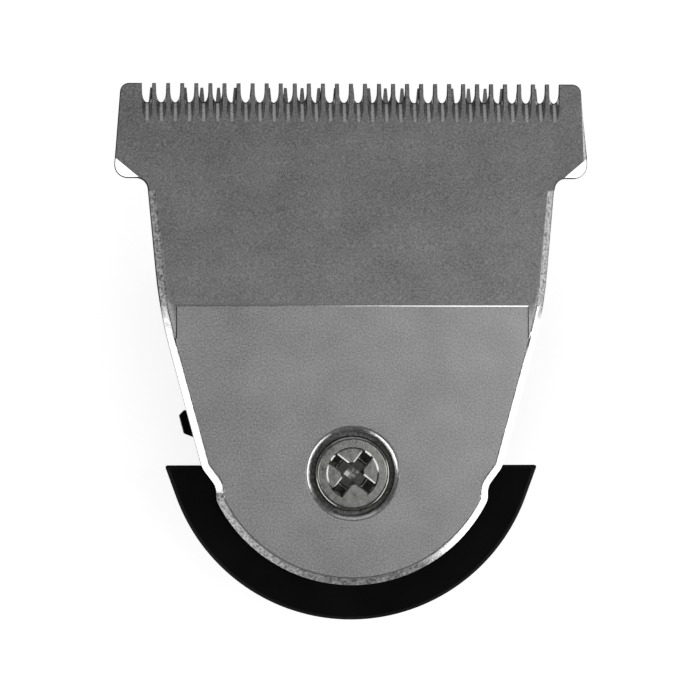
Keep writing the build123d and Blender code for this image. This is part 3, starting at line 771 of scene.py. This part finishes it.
thread = run_tree("screw_thread", bpy.data.meshes.new("thread_seed"), thread_tree, {
    "Radius": thread_root, "Depth": thread_depth * MM, "Turns": thread_turns,
    "Height": thread_turns * thread_pitch * MM, "Start": thread_start}, screw_plating)
reaches = [from_axis(vert).length / MM for vert in thread.data.vertices]
print("thread reaches from", round(min(reaches), 2), "to", round(max(reaches), 2), "mm")
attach(thread, "blade_set")

# %% [markdown]
# ## The spring
# A double torsion spring of one wire: an arm, a coil, the bail that presses on the bridge, and the same
# again. The route follows a rule, so a short formula lays its points, and a Geometry Nodes tree sweeps a
# round section along them and writes the turn and the length that the wire's finish reads.

# %% Route of the spring's wire
wire_radius = 0.4
wire_sides = 20
coil_radius = 1.5
coil_turns = 2
coil_pitch = 0.86
coil_offset = 6.2
coil_y = -1.5
bail_y = 9.1
bail_z = 5.03
bail_radius = 1.2
arm_end_y = -9.08
arm_lean = coil_pitch / (2 * pi * coil_radius)
turn_steps = 28
coil_steps = turn_steps * coil_turns
corner_steps = 10


def half_route():
    """Points, in mm, from the end of the right arm through its coil to the middle of the bail."""
    points = [(coil_offset + (arm_end_y - coil_y) * arm_lean, arm_end_y, bail_z)]
    for step in range(coil_steps + 1):
        turn = 2 * pi * coil_turns * step / coil_steps
        points.append((coil_offset + coil_pitch * turn / (2 * pi), coil_y + coil_radius * sin(turn),
                       bail_z - coil_radius + coil_radius * cos(turn)))
    leg_x = points[-1][0] + (bail_y - coil_y) * arm_lean
    swing = pi / 2 + arm_lean
    bend_x = leg_x - bail_radius * tan(swing / 2)
    for step in range(corner_steps + 1):
        turn = swing * step / corner_steps - arm_lean
        points.append((bend_x + bail_radius * cos(turn),
                       bail_y - bail_radius + bail_radius * sin(turn), bail_z))
    points.append((0.0, bail_y, bail_z))
    return points


right_half = half_route()
route = right_half + [(-x, y, z) for x, y, z in reversed(right_half[:-1])]
print("spring's route has", len(route), "points")

# %% Tree that sweeps a round wire along a route
line_length = 1.5
lines_round = 6.0
wire_tree, sizes_in = geometry_tree("round_wire", {
    "Wire radius": "NodeSocketFloat", "Sides": "NodeSocketInt"})
length = add(wire_tree, "GeometryNodeSplineParameter")
ring = add(wire_tree, "GeometryNodeCurvePrimitiveCircle", {
    "Resolution": sizes_in["Sides"], "Radius": sizes_in["Wire radius"]})
ring_turn = add(wire_tree, "GeometryNodeSplineParameter")
marked_line = add(wire_tree, "GeometryNodeCaptureAttribute", {"Geometry": sizes_in["Geometry"]},
                  domain="POINT")
marked_line.capture_items.new("FLOAT", "length")
wire_tree.links.new(length.outputs["Length"], marked_line.inputs["length"])
marked_ring = add(wire_tree, "GeometryNodeCaptureAttribute", {"Geometry": ring.outputs["Curve"]},
                  domain="POINT")
marked_ring.capture_items.new("FLOAT", "turn")
wire_tree.links.new(ring_turn.outputs["Factor"], marked_ring.inputs["turn"])
sweep = add(wire_tree, "GeometryNodeCurveToMesh", {
    "Curve": marked_line.outputs["Geometry"], "Profile Curve": marked_ring.outputs["Geometry"],
    "Fill Caps": True})
angle = add(wire_tree, "ShaderNodeMath", {0: marked_ring.outputs["turn"], 1: 2 * pi}, operation="MULTIPLY")
across = add(wire_tree, "ShaderNodeMath", {0: angle.outputs[0]}, operation="COSINE")
upward = add(wire_tree, "ShaderNodeMath", {0: angle.outputs[0]}, operation="SINE")
along = add(wire_tree, "ShaderNodeMath", {0: marked_line.outputs["length"], 1: per_grain(line_length)},
            operation="MULTIPLY")
spot = add(wire_tree, "ShaderNodeCombineXYZ", {
    "X": across.outputs[0], "Y": upward.outputs[0], "Z": along.outputs[0]})
spread = add(wire_tree, "ShaderNodeVectorMath", {0: spot.outputs[0], 1: (lines_round, lines_round, 1.0)},
             operation="MULTIPLY")
written = add(wire_tree, "GeometryNodeStoreNamedAttribute", {
    "Geometry": sweep.outputs["Mesh"], "Name": "wire_route", "Value": spread.outputs[0]},
    data_type="FLOAT_VECTOR", domain="POINT")
smooth = add(wire_tree, "GeometryNodeSetShadeSmooth", {"Geometry": written.outputs["Geometry"]})
close_tree(wire_tree, smooth.outputs["Geometry"], wire_steel)
print("tree", wire_tree.name, "has", len(wire_tree.nodes), "nodes")

# %% Spring
line = bpy.data.curves.new("spring_route", "CURVE")
line.dimensions = "3D"
spline = line.splines.new("POLY")
spline.points.add(len(route) - 1)
for point, (x, y, z) in zip(spline.points, route):
    point.co = (x * MM, y * MM, z * MM, 1.0)
spring = run_tree("spring_wire_round", line, wire_tree, {
    "Wire radius": wire_radius * MM, "Sides": wire_sides}, wire_steel)
stands_for(spring, "tension_spring", "blade_set")

# %% [markdown]
# ## The carrier
# The moulded carrier holds the comb on its seat, the screw in its boss and the spring's coils on two stub
# axles. Moulded corners are rounder than ground ones.

# %% Carrier
moulded_angle = 34
carrier_roll = 0.06
tip_roll = 0.2
flange_radius = 12.6 * MM
flange_centre = Vector((0.0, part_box("blade_carrier")[0].y + flange_radius))
tip_start = 12.0 * MM
tip_end = -6.0 * MM
tip_rise = 0.2 * MM
work = true_arcs(cad_copy("blade_carrier"), flange_centre, flange_radius / 2)
moulded_edges = sharp_edges(work, moulded_angle)
tip_edges = [e for e in moulded_edges if abs(middle(e).x) > tip_start and middle(e).y < tip_end
             and abs(e.verts[0].co.z - e.verts[1].co.z) > tip_rise]
print(len(tip_edges), "rising edges at the tips of the flange")
carrier = softened(work, "moulded_carrier", [carrier_nylon],
                   [(moulded_edges, carrier_roll), (tip_edges, tip_roll)], segments=3)
stands_for(carrier, "blade_carrier", "blade_set")

# %% [markdown]
# ## Marks of the ejector pins
# Pins push the carrier out of its mould and leave round pads, a few hundredths of a millimetre proud, on
# the floor behind the blade. One disc is instanced on each pin's place.

# %% Ejector marks
floor_level = 6.0 * MM
pin_radius = 0.7
pin_height = 0.06
pin_sides = 32
pin_places = [(x * MM, y * MM, floor_level) for x in (-2.6, 2.6) for y in (-4.6, -1.6)]
pin_tree, sizes_in = geometry_tree("ejector_marks", {
    "Pin radius": "NodeSocketFloat", "Pin height": "NodeSocketFloat"})
disc = add(pin_tree, "GeometryNodeMeshCylinder", {
    "Vertices": pin_sides, "Radius": sizes_in["Pin radius"], "Depth": sizes_in["Pin height"]})
discs = add(pin_tree, "GeometryNodeInstanceOnPoints", {
    "Points": sizes_in["Geometry"], "Instance": disc.outputs["Mesh"]})
close_tree(pin_tree, discs.outputs["Instances"], carrier_nylon)
seeds = bpy.data.meshes.new("pin_places")
seeds.from_pydata(pin_places, [], [])
marks = run_tree("ejector_marks", seeds, pin_tree, {
    "Pin radius": pin_radius * MM, "Pin height": pin_height * MM}, carrier_nylon)
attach(marks, "blade_set")

# %% [markdown]
# ## The drive bridge
# The white follower carries the cutter on two pegs. Its fork takes the trimmer's eccentric pin.

# %% Drive bridge
bridge_roll = 0.12
work = cad_copy("drive_bridge")
bridge_edges = sharp_edges(work, moulded_angle)
bridge = softened(work, "moulded_bridge", [bridge_acetal], [(bridge_edges, bridge_roll)])
stands_for(bridge, "drive_bridge", "cutter")

# %% [markdown]
# ## Light
# Bright metal shows what stands around it. Two low softboxes, left and right and a little towards the
# tail, whiten the broken rims. Two narrow panels overhead, beside the camera, give the flat faces their
# grey: the lower face mirrors both, and the ground face, which leans to the teeth, looks past them and is
# darker. A panel beyond the teeth lights their flutes. Radiance is what a mirror shows, so each panel's
# power is worked out from the radiance that it should show and its area. The world is white to the camera
# and a dim grey room to everything else.

# %% Panels
def panel(name, at, width, height, radiance, facing=None):
    """A soft rectangular light that faces the set, or another way; a radiance of 1 reads as white."""
    lamp = bpy.data.lights.new(name, "AREA")
    lamp.shape = "RECTANGLE"
    lamp.size = width
    lamp.size_y = height
    lamp.energy = radiance * pi * width * height
    stand = bpy.data.objects.new(name, lamp)
    scene.collection.objects.link(stand)
    stand.location = at
    stand.rotation_euler = (facing or -Vector(at)).to_track_quat("-Z", "Y").to_euler()
    stand.visible_camera = False


side_distance = 0.40
side_level = 0.105
side_height = 0.20
side_radiance = 2.6
for side, turn, width, name in ((-1, 38, 0.43, "left_softbox"), (1, 18, 0.53, "right_softbox")):
    place = (side * side_distance * cos(radians(turn)), -side_distance * sin(radians(turn)), side_level)
    panel(name, place, width, side_height, side_radiance)
top_y = 0.008
top_level = 0.50
top_depth = 0.098
straight_down = Vector((0.0, 0.0, -1.0))
panel("top_panel_right", (0.206, top_y, top_level), 0.324, top_depth, 1.75, straight_down)
panel("top_panel_left", (-0.223, top_y, top_level), 0.29, top_depth, 1.45, straight_down)
panel("tooth_panel", (0.0, 0.40, 0.19), 0.50, 0.34, 0.45)

# %% World
room_grey = 0.14
world = bpy.data.worlds.new("pale_room")
world.use_nodes = True
scene.world = world
room = world.node_tree
path = add(room, "ShaderNodeLightPath")
glow = add(room, "ShaderNodeMapRange", {
    "Value": path.outputs["Is Camera Ray"], "To Min": room_grey, "To Max": 1.0})
room.nodes["Background"].inputs["Color"].default_value = (1.0, 1.0, 1.0, 1.0)
room.links.new(glow.outputs["Result"], room.nodes["Background"].inputs["Strength"])
print("metal sees the room at", room_grey)

# %% [markdown]
# ## Floor
# A plain white floor. To the camera, to metal and to anything clear it glows a little, so that it reads as
# white; to the rest of the scene it only reflects, so it adds no light of its own and keeps the shadow.

# %% Floor
floor_half = 1.5
floor_glow = 0.75
floor_finish = bpy.data.materials.new("paper_white_matt")
floor_finish.use_nodes = True
tree = floor_finish.node_tree
tree.nodes.clear()
path = add(tree, "ShaderNodeLightPath")
seen = add(tree, "ShaderNodeMath", {0: path.outputs["Is Camera Ray"], 1: path.outputs["Is Glossy Ray"]},
           operation="MAXIMUM")
shown = add(tree, "ShaderNodeMath", {0: seen.outputs[0], 1: path.outputs["Is Transmission Ray"]},
            operation="MAXIMUM")
strength = add(tree, "ShaderNodeMath", {0: shown.outputs[0], 1: floor_glow}, operation="MULTIPLY")
glow = add(tree, "ShaderNodeEmission", {"Strength": strength.outputs[0]})
paper = add(tree, "ShaderNodeBsdfDiffuse", {"Color": linear("#E8E8E8")})
both = add(tree, "ShaderNodeAddShader", {0: glow.outputs[0], 1: paper.outputs[0]})
add(tree, "ShaderNodeOutputMaterial", {"Surface": both.outputs[0]})

mesh = bpy.data.meshes.new("floor")
corners = ((-1, -1), (1, -1), (1, 1), (-1, 1))
mesh.from_pydata([(x * floor_half, y * floor_half, cad_box[0].z) for x, y in corners], [], [(0, 1, 2, 3)])
mesh.materials.append(floor_finish)
floor = bpy.data.objects.new("floor", mesh)
scene.collection.objects.link(floor)
print("floor at z", cad_box[0].z)

# %% [markdown]
# ## Camera
# The photo looks straight down on the front face, from a little to the left, which is why the lug shows
# only on that side. The distance is that of a product shot, and the lens follows from the scale.

# %% Camera
picture_width = 47.1 * MM
camera_distance = 0.32
camera_lean = radians(4.0)
look_at = Vector((-0.16, 0.12, 9.0)) * MM
lens = bpy.data.cameras.new("product_camera")
lens.sensor_width = 36.0
lens.lens = lens.sensor_width * camera_distance / picture_width
lens.clip_start = 0.01
camera = bpy.data.objects.new("product_camera", lens)
scene.collection.objects.link(camera)
camera.location = look_at + camera_distance * Vector((-sin(camera_lean), 0.0, cos(camera_lean)))
camera.rotation_euler = (0.0, -camera_lean, 0.0)
scene.camera = camera
scene.view_settings.view_transform = "Standard"
print("lens of", round(lens.lens, 1), "mm at", camera_distance, "m")
